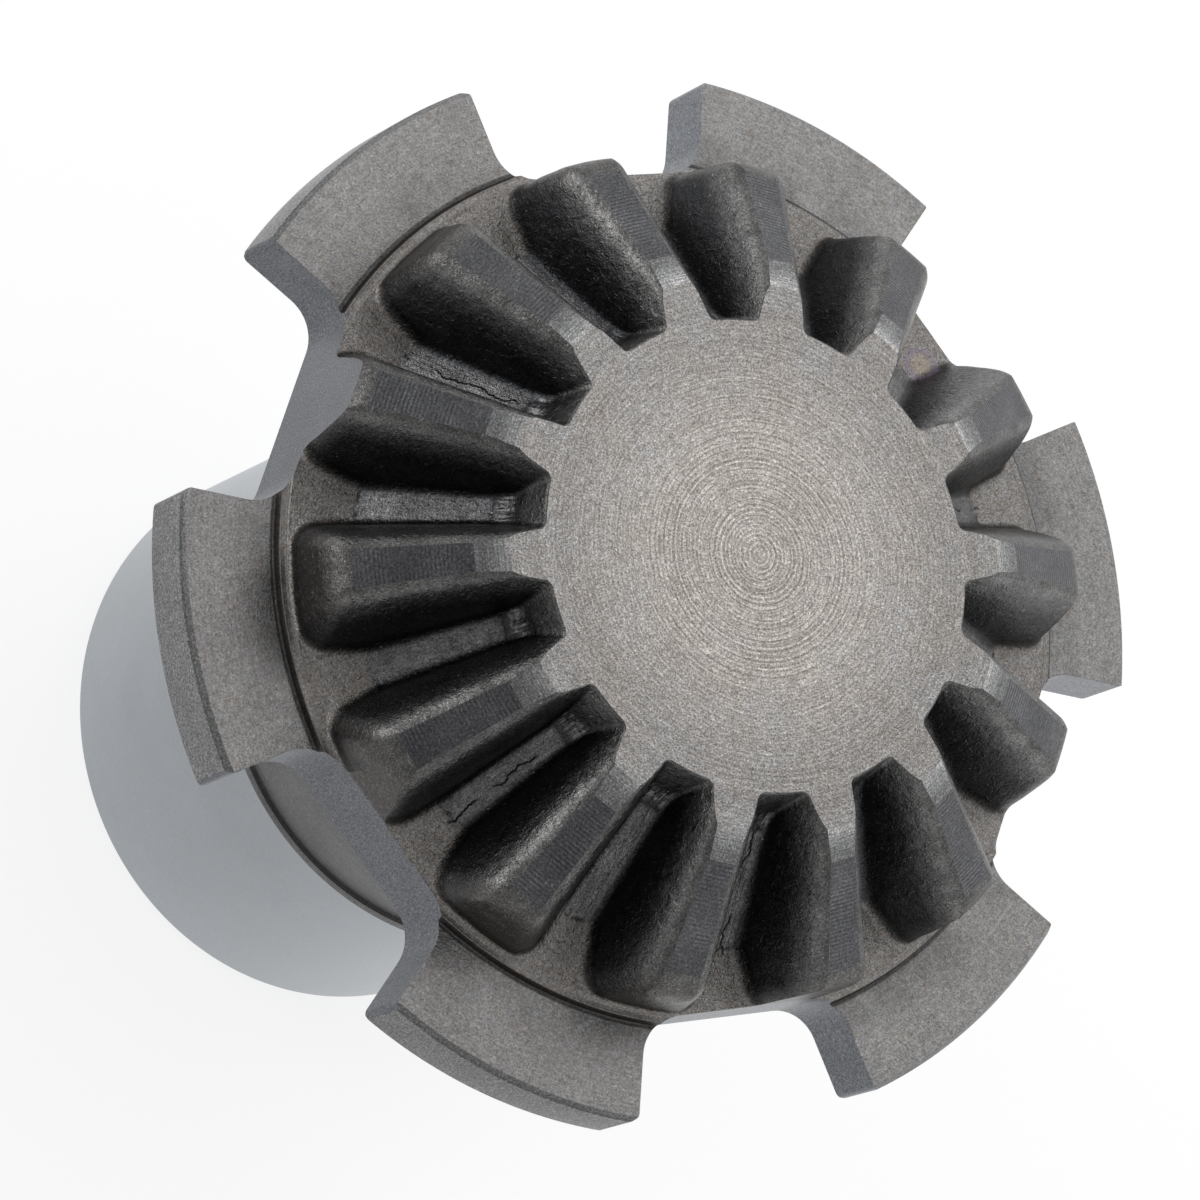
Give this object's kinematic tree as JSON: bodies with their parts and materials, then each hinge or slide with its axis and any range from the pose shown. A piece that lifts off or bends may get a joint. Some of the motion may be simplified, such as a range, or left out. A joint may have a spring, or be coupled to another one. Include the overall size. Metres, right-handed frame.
{
  "type": "bevel transmission gear",
  "caption": "Forged straight bevel side gear in one piece with a lugged locking flange and a long journal hub that holds a blind splined socket.",
  "frame": {"origin": "centre of the hub's end face, on the gear's axis", "axes": "+Z along the gear's axis towards the toothed face, +X through the middle of a lug"},
  "size_m": [0.088, 0.0848, 0.0784],
  "materials": {
    "gear_steel": "forged and phosphated, dark grey in the tooth spaces, turned on the lands and front face, ground on the hub"
  },
  "bodies": {
    "root": {"side_gear": "gear_steel"}
  },
  "joints": []
}
